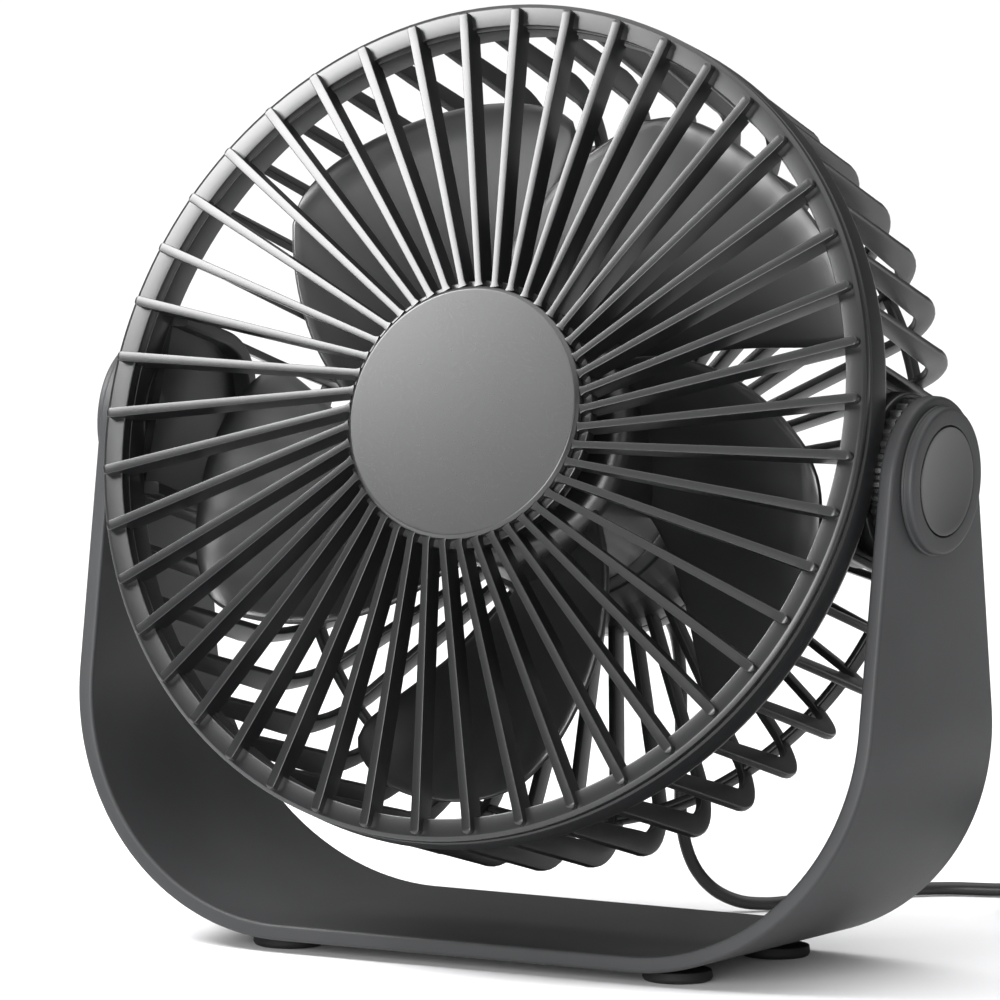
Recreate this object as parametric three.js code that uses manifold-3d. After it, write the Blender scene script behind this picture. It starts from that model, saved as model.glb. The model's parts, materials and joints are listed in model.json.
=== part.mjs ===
// A USB desk fan: a ribbed round head that tilts in a bent U-shaped stand, with its cord and plug.
// Millimetres, +Z up, the front of the fan towards -Y, standing on the plane Z = 0.
// The head's own frame has x across, y up the grille and z forward along the fan's axis.
import * as THREE from "three";
import { mergeVertices } from "three/addons/utils/BufferGeometryUtils.js";
import Module from "manifold-3d";

const wasm = await Module();
wasm.setup();

// Driving dimensions
const GAP = 0.3;
const PIVOT = new THREE.Vector3(0, -2.82, 100.2);
const REST_TILT = THREE.MathUtils.degToRad(19.1);

const STAND = { halfWidth: 89.6, strip: 3.3, corner: 50, under: 2.5, armHalf: 18, spread: 0.149, endDrop: 1.5 };
const FOOT = { radius: 7, height: 2.2, x: 44, y: 20 };
const BOSS = { radius: 16.8, outer: 83, bore: 80.8 };
const PANEL = { reach: 18.4, rim: 2.6, inside: 3.4, wall: 2, back: -19, lean: 0.075 };
const DETENT = { radius: 16, teeth: 36, tooth: 0.7, from: 83.3, to: 86 };
const SHOULDER = 4.4;
const CAP = { base: 14.8, ring: 14.6, round: 0.8, disc: 10.7, face: 92.2 };

const RING = { outer: 84.6, inner: 80, lip: 80.1, front: 23.7, seam: 21.2, rear: 14 };
const GRILLE = { ribs: 45, width: 1.7, knee: 80.6, kneeFront: 25.6, end: 3.1, discFront: 31.4, depth: 5, hub: 27 };
const RIB_PHASE = { disc: 261.8, ring: 271.1 };
const DISC = { radius: 25.6, front: 32, back: 29.7 };
const CAGE = { facets: 44, ribs: 20, first: 13, rib: 1.5, side: 82, back: -34.5, round: 17.5 };
const BAND = { inner: 68, outer: 69.6, front: -30 };
const CUP = { front: -15, back: -35.5, wall: 1.8 };
const COVER = { seam: -35.8, outer: -42.6, wall: 1.8, radius: 29.5 };
const SCREW_POSTS = { circle: 22.4, radius: 3, angles: [90, 210, 330] };

const HUB = { radius: 26, front: 12, back: -14.3, wall: 1.8, boss: 5 };
const BLADE = { count: 5, tip: 72.8, square: 69, thick: 1.4, back: -8, front: 10, rise: 4, camber: 2.2 };
const SHAFT = 1;
const CAN = { radius: 13.85, front: -17.1, back: -29.6, wall: 1 };
const RELIEF = { y: -19, tip: -56 };

const CORD = 2.6;
const COIL = { x: 74, y: 104, middle: 14.3, half: 5.3, lift: 1.1, height: 9.8 };
const PLUG = { x: 104, back: 100, width: 15.5, thick: 8, body: 24, shell: 12, shellThick: 4.5, metal: 0.35 };

// Materials
const finish = (color, roughness, metalness = 0) => ({ color, roughness, metalness });
const FINISH = {
  body: finish(0x3a3b3d, 0.45),
  grille: finish(0x2e2f31, 0.4),
  blade: finish(0x3c3d3f, 0.38),
  rubber: finish(0x18191a, 0.85),
  steel: finish(0xb9bcc0, 0.3, 1),
  brass: finish(0xb08d4a, 0.35, 1),
  magnet: finish(0x55565a, 0.7, 0.3),
  core: finish(0x8a6a4a, 0.5, 0.6),
  board: finish(0x1f5a38, 0.55),
  button: finish(0x2b2c2e, 0.35),
  lens: finish(0xd8e4f0, 0.15),
  cord: finish(0x151617, 0.55),
  insulator: finish(0xe8e8e4, 0.5),
};

// Solids from closed three.js geometries
function solid(geometry) {
  const g = geometry.clone();
  g.deleteAttribute("normal");
  if (g.getAttribute("uv")) g.deleteAttribute("uv");
  const merged = mergeVertices(g, 1e-4);
  const mesh = { numProp: 3, vertProperties: merged.attributes.position.array };
  return new wasm.Manifold(new wasm.Mesh({ ...mesh, triVerts: new Uint32Array(merged.index.array) }));
}

const join = (...solids) => solids.reduce((a, b) => a.add(b));
const cut = (first, ...solids) => solids.reduce((a, b) => a.subtract(b), first);

function geometryOf(made) {
  const m = made.getMesh();
  const points = new Float32Array(m.numVert * 3);
  for (let i = 0; i < m.numVert; i += 1) {
    points.set(m.vertProperties.subarray(i * m.numProp, i * m.numProp + 3), i * 3);
  }
  const g = new THREE.BufferGeometry();
  g.setAttribute("position", new THREE.BufferAttribute(points, 3));
  g.setIndex(new THREE.BufferAttribute(new Uint32Array(m.triVerts), 1));
  g.computeVertexNormals();
  return g;
}

// A solid of revolution about z: profile points are [radius, z], anticlockwise in that plane.
function turned(profile, segments = 48) {
  const points = profile.map(([r, z]) => new THREE.Vector2(r, z));
  if (profile[0][0] > 0) points.push(points[0].clone());
  return solid(new THREE.LatheGeometry(points, segments).rotateX(Math.PI / 2));
}

// The same about x, with profile points [radius, x].
function turnedAboutX(profile, segments = 48) {
  return turned(profile, segments).rotate([0, 90, 0]);
}

function disc(radius, from, to, segments = 24, [x, y] = [0, 0]) {
  return turned([[0, from], [radius, from], [radius, to], [0, to]], segments).translate([x, y, 0]);
}

function tubeRing(inner, outer, from, to, segments = 24) {
  return turned([[inner, from], [outer, from], [outer, to], [inner, to]], segments);
}

function block(sizeX, sizeY, sizeZ, [x, y, z] = [0, 0, 0]) {
  return solid(new THREE.BoxGeometry(sizeX, sizeY, sizeZ)).translate([x, y, z]);
}

// A flat outline of [x, y] points pulled along z, centred on z = 0.
function plate(outline, thickness, holes = []) {
  const shape = new THREE.Shape(outline.map(([x, y]) => new THREE.Vector2(x, y)));
  holes.forEach((hole) => shape.holes.push(new THREE.Path(hole.map(([x, y]) => new THREE.Vector2(x, y)))));
  const g = new THREE.ExtrudeGeometry(shape, { depth: thickness, bevelEnabled: false });
  return solid(g).translate([0, 0, -thickness / 2]);
}

function arc([cx, cy], radius, fromDeg, toDeg, steps) {
  return Array.from({ length: steps + 1 }, (_, i) => {
    const a = THREE.MathUtils.degToRad(fromDeg + ((toDeg - fromDeg) * i) / steps);
    return [cx + radius * Math.cos(a), cy + radius * Math.sin(a)];
  });
}

// An outline of [radius, z] points as a plate that stands in the plane of the fan's axis at an angle.
function standingPlate(outline, thickness, angleDeg) {
  return plate(outline, thickness).rotate([90, 0, 0]).rotate([0, 0, angleDeg]);
}

const circlePoint = (radius, angleDeg) => {
  const a = THREE.MathUtils.degToRad(angleDeg);
  return [radius * Math.cos(a), radius * Math.sin(a)];
};

// Scene graph
const fan = new THREE.Group();
const stand = new THREE.Group();
const head = new THREE.Group();
const free = new THREE.Group();
stand.position.copy(PIVOT);
head.position.copy(PIVOT);
head.rotation.x = Math.PI / 2 - REST_TILT;
fan.add(stand, head, free);

function place(group, name, made, look) {
  const mesh = new THREE.Mesh(geometryOf(made), new THREE.MeshStandardMaterial(FINISH[look]));
  mesh.name = name;
  group.add(mesh);
}

const SIDES = [["left", -1], ["right", 1]];

// The stand: a strip bent to a U, tapering from the base to the round arm ends
function standBracket() {
  const { halfWidth, strip, corner, under, armHalf, spread, endDrop } = STAND;
  const floor = under - PIVOT.z;
  const bend = [halfWidth - corner, floor + corner];
  const inner = corner - strip;
  const outerHalf = [...arc(bend, corner, -90, 0, 12), [halfWidth, armHalf + 1]];
  const innerHalf = [[halfWidth - strip, armHalf + 1], ...arc(bend, inner, 0, -90, 12)];
  const right = [...outerHalf, ...innerHalf];
  const left = right.map(([x, z]) => [-x, z]).reverse();
  const across = plate([...right, ...left], 80).rotate([90, 0, 0]);
  const slope = THREE.MathUtils.radToDeg(Math.atan(spread));
  const foot = armHalf - spread * floor;
  const end = (armHalf + spread * endDrop) / Math.hypot(1, spread);
  const side = [[-foot, floor - 1], [foot, floor - 1], ...arc([0, -endDrop], end, slope, 180 - slope, 14)];
  const along = plate(side, 2 * halfWidth + 2).rotate([90, 0, 0]).rotate([0, 0, 90]);
  const hole = disc(SHOULDER + GAP, -halfWidth - 1, halfWidth + 1, 20).rotate([0, 90, 0]);
  return cut(across.intersect(along), hole);
}

function pivotCap() {
  const back = STAND.halfWidth + GAP;
  const { base, ring, round, disc: seat, face } = CAP;
  const floor = back + 1;
  return turnedAboutX([
    [7.4, back], [base, back], [ring, face - round], [ring - 0.3 * round, face - 0.3 * round],
    [ring - round, face], [seat + GAP, face], [seat + GAP, floor], [7.4, floor],
  ], 36);
}

function capDisc() {
  const back = STAND.halfWidth + GAP + 1 + GAP;
  const rim = CAP.face - 0.3;
  return turnedAboutX([[0, back], [CAP.disc, back], [CAP.disc, rim], [6, rim - 0.3], [0, rim - 0.35]], 28);
}

const mirrorX = (made, side) => (side < 0 ? made.rotate([0, 0, 180]) : made);

place(stand, "stand_bracket", standBracket(), "body");
for (const [sideName, side] of SIDES) {
  place(stand, `pivot_cap_${sideName}`, mirrorX(pivotCap(), side), "body");
  place(stand, `cap_disc_${sideName}`, mirrorX(capDisc(), side), "body");
  for (const [endName, end] of [["front", -1], ["rear", 1]]) {
    const { radius, height, x, y } = FOOT;
    const foot = turned([[0, 0], [radius - 0.6, 0], [radius, 0.6], [radius, height], [0, height]], 24);
    const spot = [side * x, end * y, -PIVOT.z];
    place(stand, `foot_${endName}_${sideName}`, foot.translate(spot), "rubber");
  }
}

// The pivots of the head
function detentRing() {
  const outline = Array.from({ length: 2 * DETENT.teeth }, (_, i) =>
    circlePoint(DETENT.radius - (i % 2) * DETENT.tooth, (180 * i) / DETENT.teeth),
  );
  const hole = arc([0, 0], SHOULDER + GAP, 0, 342, 19);
  const middle = (DETENT.from + DETENT.to) / 2;
  return plate(outline, DETENT.to - DETENT.from, [hole]).rotate([0, 90, 0]).translate([middle, 0, 0]);
}

function pivotScrew() {
  const under = STAND.halfWidth + GAP;
  const tip = BOSS.bore + GAP;
  return turnedAboutX([
    [0, tip], [1.9, tip], [1.9, BOSS.outer + GAP], [SHOULDER, BOSS.outer + GAP], [SHOULDER, under],
    [6.4, under], [6.4, under + 0.8], [0, under + 0.8],
  ], 16);
}

for (const [sideName, side] of SIDES) {
  place(head, `detent_ring_${sideName}`, mirrorX(detentRing(), side), "grille");
  place(head, `pivot_screw_${sideName}`, mirrorX(pivotScrew(), side), "steel");
}

// The front grille: ribs that lean off the radius, from the hub plate out over the ring
function frontRib(turn) {
  const { width, knee, kneeFront, end, discFront, depth } = GRILLE;
  const [fromX, fromY] = circlePoint(DISC.radius + 0.2, RIB_PHASE.disc + turn);
  const [toX, toY] = circlePoint(knee, RIB_PHASE.ring + turn);
  const length = Math.hypot(toX - fromX, toY - fromY);
  const seat = RING.seam + 0.4;
  const outline = [
    [0, discFront - depth], [length - 1.2, kneeFront - depth], [length - 1.2, seat], [length + end, seat],
    [length + end, RING.front + 0.1], [length + end - 0.6, kneeFront - 0.8], [length + 1.4, kneeFront - 0.1],
    [length, kneeFront], [0, discFront],
  ];
  const angle = THREE.MathUtils.radToDeg(Math.atan2(toY - fromY, toX - fromX));
  return standingPlate(outline, width, angle).translate([fromX, fromY, 0]);
}

function frontGrille() {
  const { ribs, hub } = GRILLE;
  const { lip, outer, front, seam } = RING;
  const ring = turned([[lip, seam], [outer, seam], [outer - 0.2, front - 0.6], [outer - 0.9, front], [lip, front]], ribs);
  const seat = turned([[0, 26.4], [hub, 26.4], [hub, DISC.back - GAP], [0, DISC.back - GAP]], ribs);
  const all = Array.from({ length: ribs }, (_, i) => frontRib((360 * i) / ribs));
  return join(ring, seat, ...all);
}

function frontDisc() {
  const { radius, front, back } = DISC;
  return turned([[0, back], [radius, back], [radius, front - 0.5], [radius - 0.5, front], [0, front]], 48);
}

place(head, "front_grille", frontGrille(), "grille");
place(head, "front_disc", frontDisc(), "body");

// The rear cage: ring, bent ribs, rear band, pivot panels and motor housing in one moulding
const RIB_CORNER = [CAGE.side - 18, CAGE.back + CAGE.round];

function cageRib() {
  const outer = arc(RIB_CORNER, CAGE.round, 0, -90, 3);
  const inner = arc([RIB_CORNER[0] + 2, -20], 10, -90, 0, 2);
  return [[RING.outer - 0.4, RING.rear + 1], [RING.inner + 0.2, RING.rear + 1], ...inner.reverse(), [28.4, -31],
    [28.4, CUP.back], ...outer.reverse()];
}

// A wall of the head that stands between two radii at the ring and leans inwards behind it.
function leaningWall(inner, outer) {
  const front = RING.rear + 1;
  const drop = PANEL.lean * (front - PANEL.back);
  return turned([[inner, front], [inner - drop, PANEL.back], [outer - drop, PANEL.back], [outer, front]], CAGE.facets);
}

// Everything beside the pivot within a reach of its axis, and in front of it up to the ring.
function besidePivot(reach, front) {
  const outline = [[front, -reach], [front, reach], ...arc([0, 0], reach, 90, 270, 14)];
  return plate(outline, 20).rotate([0, 90, 0]).rotate([180, 0, 0]).translate([80, 0, 0]);
}

function pivotPanel() {
  const { reach, rim, inside, wall } = PANEL;
  const { radius, outer, bore } = BOSS;
  const skin = CAGE.side;
  const slab = leaningWall(skin - wall - inside, skin).intersect(besidePivot(reach, RING.rear + 2));
  const boss = turnedAboutX([[0, 77], [radius, 77], [radius, outer], [0, outer]], 28);
  const hollow = leaningWall(60, skin - wall).intersect(besidePivot(reach - rim, RING.rear + 2));
  const screwBore = turnedAboutX([[0, bore], [2.2, bore], [2.2, outer + 1], [0, outer + 1]], 8);
  return cut(join(slab, boss), hollow, screwBore);
}

function motorCup() {
  const { front, back, wall } = CUP;
  const shell = turned([
    [6, front], [6, front - wall], [25.6, front - wall], [27.6, -31], [27.6, back],
    [29.6, back], [29.4, -31], [27.4, -16.4], [26, front],
  ], CAGE.facets);
  const { circle, radius, angles } = SCREW_POSTS;
  const posts = angles.map((a) => disc(radius, back + 0.5, front - 1, 12, circlePoint(circle, a)));
  const bores = angles.map((a) => disc(1.4, back - 1, -27, 8, circlePoint(circle, a)));
  const motorHoles = [0, 180].map((a) => disc(1.3, -20, front + 1, 8, circlePoint(8.5, a)));
  return cut(join(shell, ...posts), ...bores, ...motorHoles);
}

function rearCage() {
  const rib = cageRib();
  const ring = tubeRing(RING.inner, RING.outer, RING.rear, RING.seam - GAP, CAGE.facets);
  const band = tubeRing(BAND.inner, BAND.outer, CAGE.back + 0.2, BAND.front, CAGE.facets);
  const pitch = (180 - 2 * CAGE.first) / (CAGE.ribs - 1);
  const ribs = [1, -1].flatMap((half) =>
    Array.from({ length: CAGE.ribs }, (_, i) => standingPlate(rib, CAGE.rib, half * (CAGE.first + pitch * i))),
  );
  const recess = disc(DETENT.radius + GAP, BOSS.outer, RING.outer + 1, 40).rotate([0, 90, 0]);
  const body = join(ring, band, motorCup(), ...ribs, pivotPanel(), mirrorX(pivotPanel(), -1));
  return cut(body, recess, mirrorX(recess, -1));
}

place(head, "rear_cage", rearCage(), "grille");

// The rear cover with its button, lens, screws and strain relief
function rearCover() {
  const { seam, outer, wall, radius } = COVER;
  const shell = turned([
    [0, outer], [26, outer], [28.6, outer + 1.4], [radius, -39], [radius, seam], [radius - wall, seam],
    [radius - wall, -38.6], [26, outer + wall], [0, outer + wall],
  ], CAGE.facets);
  const at = SCREW_POSTS.angles.map((a) => circlePoint(SCREW_POSTS.circle, a));
  const bosses = at.map((p) => disc(3.4, outer + 0.5, -35.6, 12, p));
  const bores = at.map((p) => disc(1.4, outer - 1, -35, 8, p));
  const sinks = at.map((p) => disc(2.4, outer - 1, outer + 1.7, 12, p));
  const button = disc(6.3, outer - 1, outer + 3, 28);
  const relief = disc(3.2, outer - 1, outer + 3, 14, [0, RELIEF.y]);
  const lens = disc(1.5, outer - 1, outer + 3, 12, [0, 13]);
  return cut(join(shell, ...bosses), ...bores, ...sinks, button, relief, lens);
}

function coverScrew(angle) {
  const [x, y] = circlePoint(SCREW_POSTS.circle, angle);
  const top = COVER.outer + 1.4;
  const made = turned([[0, COVER.outer], [2, COVER.outer], [2, top], [1.1, top], [1.1, -28], [0, -28]], 12);
  return made.translate([x, y, 0]);
}

function strainRelief() {
  const { y, tip } = RELIEF;
  const inside = COVER.outer + COVER.wall + GAP;
  return turned([
    [0, tip], [1.7, tip], [1.9, tip + 1], [2.7, COVER.outer - 1.6], [3.6, COVER.outer - 1.2],
    [3.6, COVER.outer - GAP], [2.9, COVER.outer - GAP], [2.9, inside], [4.4, inside], [4.4, inside + 1.4],
    [0, inside + 1.4],
  ], 14).translate([0, y, 0]);
}

function powerButton() {
  const face = -44;
  const inside = COVER.outer + COVER.wall + GAP;
  return turned([
    [0, face], [5, face], [6, face + 0.8], [6, inside], [7.2, inside], [7.2, -39.9], [0, -39.9],
  ], 28);
}

place(head, "rear_cover", rearCover(), "grille");
SCREW_POSTS.angles.forEach((a, i) => place(head, `cover_screw_${i + 1}`, coverScrew(a), "steel"));
place(head, "cord_strain_relief", strainRelief(), "rubber");
place(head, "power_button", powerButton(), "button");
place(head, "indicator_lens", disc(1.2, COVER.outer - 0.1, -39, 12, [0, 13]), "lens");
place(head, "control_board", disc(18.8, -34.7, -33.5, 24), "board");
place(head, "push_switch", block(6, 6, 3.3, [0, 0, -36.7]), "steel");

// The motor
function motorCan() {
  const { radius, front, back, wall } = CAN;
  const shell = turned([
    [3.3, front], [3.3, front - wall], [radius - wall, front - wall], [radius - wall, back],
    [radius, back], [radius, front],
  ], 28);
  return cut(shell, ...[0, 180].map((a) => disc(1.3, front - 3, front + 1, 10, circlePoint(8.5, a))));
}

function magnet(side) {
  const outline = [...arc([0, 0], 12.4, -58, 58, 8), ...arc([0, 0], 10.7, 58, -58, 8)];
  return plate(outline, 9).translate([0, 0, -23.5]).rotate([0, 0, side < 0 ? 180 : 0]);
}

function rotorCore() {
  const poles = [0, 120, 240].flatMap((a) => [
    ...arc([0, 0], 10, a - 48, a + 48, 6), circlePoint(4.2, a + 52), circlePoint(4.2, a + 68),
  ]);
  return plate(poles, 7, [arc([0, 0], SHAFT + GAP, 0, 315, 7)]).translate([0, 0, -23.3]);
}

place(head, "motor_can", motorCan(), "steel");
place(head, "motor_end_bell", tubeRing(3.3, 13.6, CAN.back - 2.3, CAN.back - GAP, 24), "insulator");
place(head, "front_bushing", tubeRing(SHAFT + GAP, 3, -19, -15.2, 12), "brass");
place(head, "rear_bushing", tubeRing(SHAFT + GAP, 3, CAN.back - 2.3, CAN.back, 12), "brass");
for (const [sideName, side] of SIDES) {
  place(head, `magnet_${sideName}`, magnet(side), "magnet");
  place(head, `brush_${sideName}`, block(3, 2, 1.4, [side * 5.6, 0, -28.6]), "brass");
}
[0, 180].forEach((a, i) => {
  const [x, y] = circlePoint(8.5, a);
  const screw = turned([[0, -18.9], [1, -18.9], [1, CUP.front + GAP], [1.9, CUP.front + GAP],
    [1.9, CUP.front + 1.5], [0, CUP.front + 1.5]], 10);
  place(head, `motor_screw_${i + 1}`, screw.translate([x, y, 0]), "steel");
});

// The impeller: the angles of one blade's trailing and leading edges at a radius
const TRAILING = { root: 48.9, tip: 24.3, curve: 1.6 };
const LEADING = { root: 110.4, tip: 71.5 };

function bladeEdges(radius) {
  const inward = Math.max(0, (BLADE.square - radius) / (BLADE.square - HUB.radius));
  return [
    TRAILING.tip + (TRAILING.root - TRAILING.tip) * inward ** TRAILING.curve,
    LEADING.tip + (LEADING.root - LEADING.tip) * inward,
  ];
}

function blade(turn) {
  const chord = 8;
  const span = 5;
  const root = HUB.radius - 1.2;
  const { tip, square, back, front, rise, camber } = BLADE;
  const surface = (u, v) => {
    const end = square + (tip - square) * Math.sqrt(Math.max(0, 1 - (2 * u - 1) ** 4));
    const radius = root + (end - root) * v;
    const [from, to] = bladeEdges(Math.min(radius, square));
    const [x, y] = circlePoint(radius, turn + from + (to - from) * u);
    const outward = Math.min(1, Math.max(0, (radius - HUB.radius) / (square - HUB.radius)));
    const lead = front + rise * Math.sqrt(outward);
    return new THREE.Vector3(x, y, back + (lead - back) * u + camber * u * (1 - u));
  };
  const normal = (u, v) => {
    const e = 0.01;
    const du = surface(Math.min(1, u + e), v).sub(surface(Math.max(0, u - e), v));
    const dv = surface(u, Math.min(1, v + e)).sub(surface(u, Math.max(0, v - e)));
    return du.cross(dv).normalize();
  };
  const points = [];
  for (const side of [1, -1]) {
    for (let j = 0; j <= span; j += 1) {
      for (let i = 0; i <= chord; i += 1) {
        const [u, v] = [i / chord, j / span];
        const shift = normal(u, v).multiplyScalar((side * BLADE.thick) / 2);
        points.push(...surface(u, v).add(shift).toArray());
      }
    }
  }
  const at = (side, i, j) => side * (span + 1) * (chord + 1) + j * (chord + 1) + i;
  const faces = [];
  const quad = (a, b, c, d) => faces.push(a, b, c, a, c, d);
  for (let j = 0; j < span; j += 1) {
    for (let i = 0; i < chord; i += 1) {
      quad(at(0, i, j), at(0, i + 1, j), at(0, i + 1, j + 1), at(0, i, j + 1));
      quad(at(1, i, j), at(1, i, j + 1), at(1, i + 1, j + 1), at(1, i + 1, j));
    }
  }
  for (let i = 0; i < chord; i += 1) {
    quad(at(0, i, 0), at(1, i, 0), at(1, i + 1, 0), at(0, i + 1, 0));
    quad(at(0, i, span), at(0, i + 1, span), at(1, i + 1, span), at(1, i, span));
  }
  for (let j = 0; j < span; j += 1) {
    quad(at(0, 0, j), at(0, 0, j + 1), at(1, 0, j + 1), at(1, 0, j));
    quad(at(0, chord, j), at(1, chord, j), at(1, chord, j + 1), at(0, chord, j + 1));
  }
  const g = new THREE.BufferGeometry();
  g.setAttribute("position", new THREE.BufferAttribute(new Float32Array(points), 3));
  g.setIndex(faces);
  return solid(g);
}

function impeller() {
  const { radius, front, back, wall, boss } = HUB;
  const hub = turned([
    [0, front - wall], [radius - 4.4, front - wall], [radius - wall, front - 4.4], [radius - wall, back],
    [radius, back], [radius, front - 4], [radius - 1.2, front - 1.2], [radius - 4, front], [0, front],
  ], 40);
  const stem = disc(boss, back + 1, front - 0.5, 24);
  const bore = disc(SHAFT + GAP, back, 7.5, 12);
  const blades = Array.from({ length: BLADE.count }, (_, i) => blade((360 * i) / BLADE.count));
  return cut(join(hub, stem, ...blades), bore);
}

place(head, "impeller", impeller(), "blade");
place(head, "motor_shaft", disc(SHAFT, -32.6, 7, 12), "steel");
place(head, "rotor_core", rotorCore(), "core");
place(head, "commutator", tubeRing(SHAFT + GAP, 3.6, -29.4, -27.2, 14), "brass");

// The cord, from the strain relief down to the surface and to its coil
const CORD_Z = CORD / 2 + 0.1;
const CORD_ROUTE = [
  [0, 44.8, 64], [0, 50.5, 61.4], [0, 55, 56.4], [0, 57.2, 48], [0, 57.6, 38], [0, 57.6, 28],
  [0.2, 58, 18], [1.6, 59.8, 10.2], [4.6, 62.4, 5], [8.8, 65.6, 2.2], [13, 69.8, CORD_Z], [16.2, 76, CORD_Z],
  [19, 84, CORD_Z], [22.4, 94, CORD_Z], [27, 102.6, CORD_Z], [34, 109, CORD_Z], [43.7, 113, CORD_Z],
  [52, 117, CORD_Z + 0.4], [60.2, 120.8, CORD_Z + 1],
];

function cordTube(points, steps) {
  const path = new THREE.CatmullRomCurve3(points.map((p) => new THREE.Vector3(...p)), false, "centripetal");
  const section = new THREE.Shape(arc([0, 0], CORD / 2, 0, 315, 7).map(([x, y]) => new THREE.Vector2(x, y)));
  return solid(new THREE.ExtrudeGeometry(section, { steps, bevelEnabled: false, extrudePath: path }));
}

// The tilting head carries the cord out to this distance from the pivot axis.
const LEAD_REACH = 90;
const leadZone = (radius) =>
  disc(radius, -10, 10, 64).rotate([0, 90, 0]).translate([0, PIVOT.y, PIVOT.z]);

const hangingCord = cordTube(CORD_ROUTE, 36);
place(free, "cord_lead", hangingCord.intersect(leadZone(LEAD_REACH)), "cord");
place(free, "cord", cut(hangingCord, leadZone(LEAD_REACH + GAP)), "cord");

function cordCoil() {
  const { x, y, middle, half, lift, height } = COIL;
  const [inner, outer, top] = [middle - half, middle + half, lift + height];
  return turned([
    [inner, lift + 1], [inner + 1, lift], [outer - 1, lift], [outer, lift + 1], [outer, top - 1],
    [outer - 1, top], [inner + 1, top], [inner, top - 1],
  ], 30).translate([x, y, 0]);
}

function coilTie() {
  const { x, y, middle, half, lift, height } = COIL;
  const [wide, tall] = [2 * half + 3 * GAP, height + 2 * GAP];
  const band = 0.7;
  const made = cut(block(wide + 2 * band, 4, tall + 2 * band), block(wide, 6, tall));
  return made.translate([x - middle, y, lift + height / 2]);
}

place(free, "cord_coil", cordCoil(), "cord");
place(free, "coil_tie", coilTie(), "rubber");

// The plug lies beside the coil, its shell towards -Y
const PLUG_Z = PLUG.thick / 2 + 0.1;

const TAIL_ROUTE = [
  [88.5, 121.6, 8.6], [94.6, 119.8, 7], [99.8, 115.8, 5.6], [103, 111, 4.6], [PLUG.x, PLUG.back + 6.9, PLUG_Z],
];

function plugOvermould() {
  const { width, thick, body, back } = PLUG;
  const front = back - body;
  const half = width / 2;
  const outline = [[-half, front], [half, front], [half, back - 9], [half - 1.4, back - 4.5],
    [3, back], [-3, back], [1.4 - half, back - 4.5], [-half, back - 9]];
  const relief = turned([[0, 0], [2.6, 0], [2.6, 2.6], [2, 3], [2, 6.4], [0, 6.4]], 14);
  const made = join(plate(outline, thick), relief.rotate([-90, 0, 0]).translate([0, back - 0.2, 0]));
  const socket = block(12 + 2 * GAP, 12, PLUG.shellThick + 2 * GAP, [0, front + 5, 0]);
  return cut(made, socket).translate([PLUG.x, 0, PLUG_Z]);
}

const PLUG_FRONT = PLUG.back - PLUG.body;

function plugShell() {
  const { shell, shellThick, metal } = PLUG;
  const length = shell + 10;
  const middle = PLUG_FRONT - shell + length / 2;
  const tube = cut(block(12, length, shellThick), block(12 - 2 * metal, length + 2, shellThick - 2 * metal));
  const windows = [-2.6, 2.6].map((x) => block(2.2, 2.4, 2, [x, -length / 2 + 6.4, shellThick / 2]));
  return cut(tube, ...windows).translate([PLUG.x, middle, PLUG_Z]);
}

place(free, "cord_tail", cordTube(TAIL_ROUTE, 12), "cord");
place(free, "plug_overmould", plugOvermould(), "rubber");
place(free, "plug_shell", plugShell(), "steel");
place(free, "plug_tongue", block(11, 18, 1.5, [PLUG.x, PLUG_FRONT - 2, PLUG_Z - 0.85]), "insulator");
[-3.5, -1.1, 1.1, 3.5].forEach((x, i) => {
  place(free, `plug_contact_${i + 1}`, block(1, 9, 0.4, [PLUG.x + x, PLUG_FRONT - 5.5, PLUG_Z + 0.4]), "brass");
});

export default fan;
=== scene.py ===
"""Looks of the desk fan: fine meshes, materials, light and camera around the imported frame."""
import json
import math

import bpy
from mathutils import Matrix, Vector


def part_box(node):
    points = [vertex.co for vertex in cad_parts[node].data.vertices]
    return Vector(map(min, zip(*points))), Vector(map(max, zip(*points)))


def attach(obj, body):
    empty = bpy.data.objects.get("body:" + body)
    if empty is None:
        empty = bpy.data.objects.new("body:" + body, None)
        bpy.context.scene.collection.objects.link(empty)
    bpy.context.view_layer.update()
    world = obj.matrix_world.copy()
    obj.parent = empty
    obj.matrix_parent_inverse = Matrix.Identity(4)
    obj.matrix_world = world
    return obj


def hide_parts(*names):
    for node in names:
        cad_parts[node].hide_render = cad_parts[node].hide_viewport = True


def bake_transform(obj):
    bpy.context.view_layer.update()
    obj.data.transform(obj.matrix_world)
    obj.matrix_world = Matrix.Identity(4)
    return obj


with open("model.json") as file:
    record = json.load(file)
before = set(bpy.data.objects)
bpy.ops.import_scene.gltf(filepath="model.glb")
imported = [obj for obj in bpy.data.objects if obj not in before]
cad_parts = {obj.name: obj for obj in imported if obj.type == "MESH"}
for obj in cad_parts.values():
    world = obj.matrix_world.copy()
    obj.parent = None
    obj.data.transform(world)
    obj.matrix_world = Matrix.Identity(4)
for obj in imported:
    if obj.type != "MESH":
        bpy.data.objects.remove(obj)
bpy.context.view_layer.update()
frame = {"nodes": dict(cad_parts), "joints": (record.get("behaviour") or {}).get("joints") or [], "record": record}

# The head's own frame, in millimetres: x across, y up the grille, z forward along the fan's axis.
JOINTS = {j["name"]: j for j in frame["joints"]}
PIVOT = Vector(JOINTS["head_tilt"]["pos_m"])
FORWARD = Vector(JOINTS["impeller_spin"]["axis"]).normalized()
ACROSS = Vector((1, 0, 0))
UP = FORWARD.cross(ACROSS)
MM = 0.001
HEAD = Matrix.Translation(PIVOT) @ Matrix((ACROSS, UP, FORWARD)).transposed().to_4x4() @ Matrix.Scale(MM, 4)
STAND = Matrix.Translation(PIVOT) @ Matrix.Scale(MM, 4)
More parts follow.
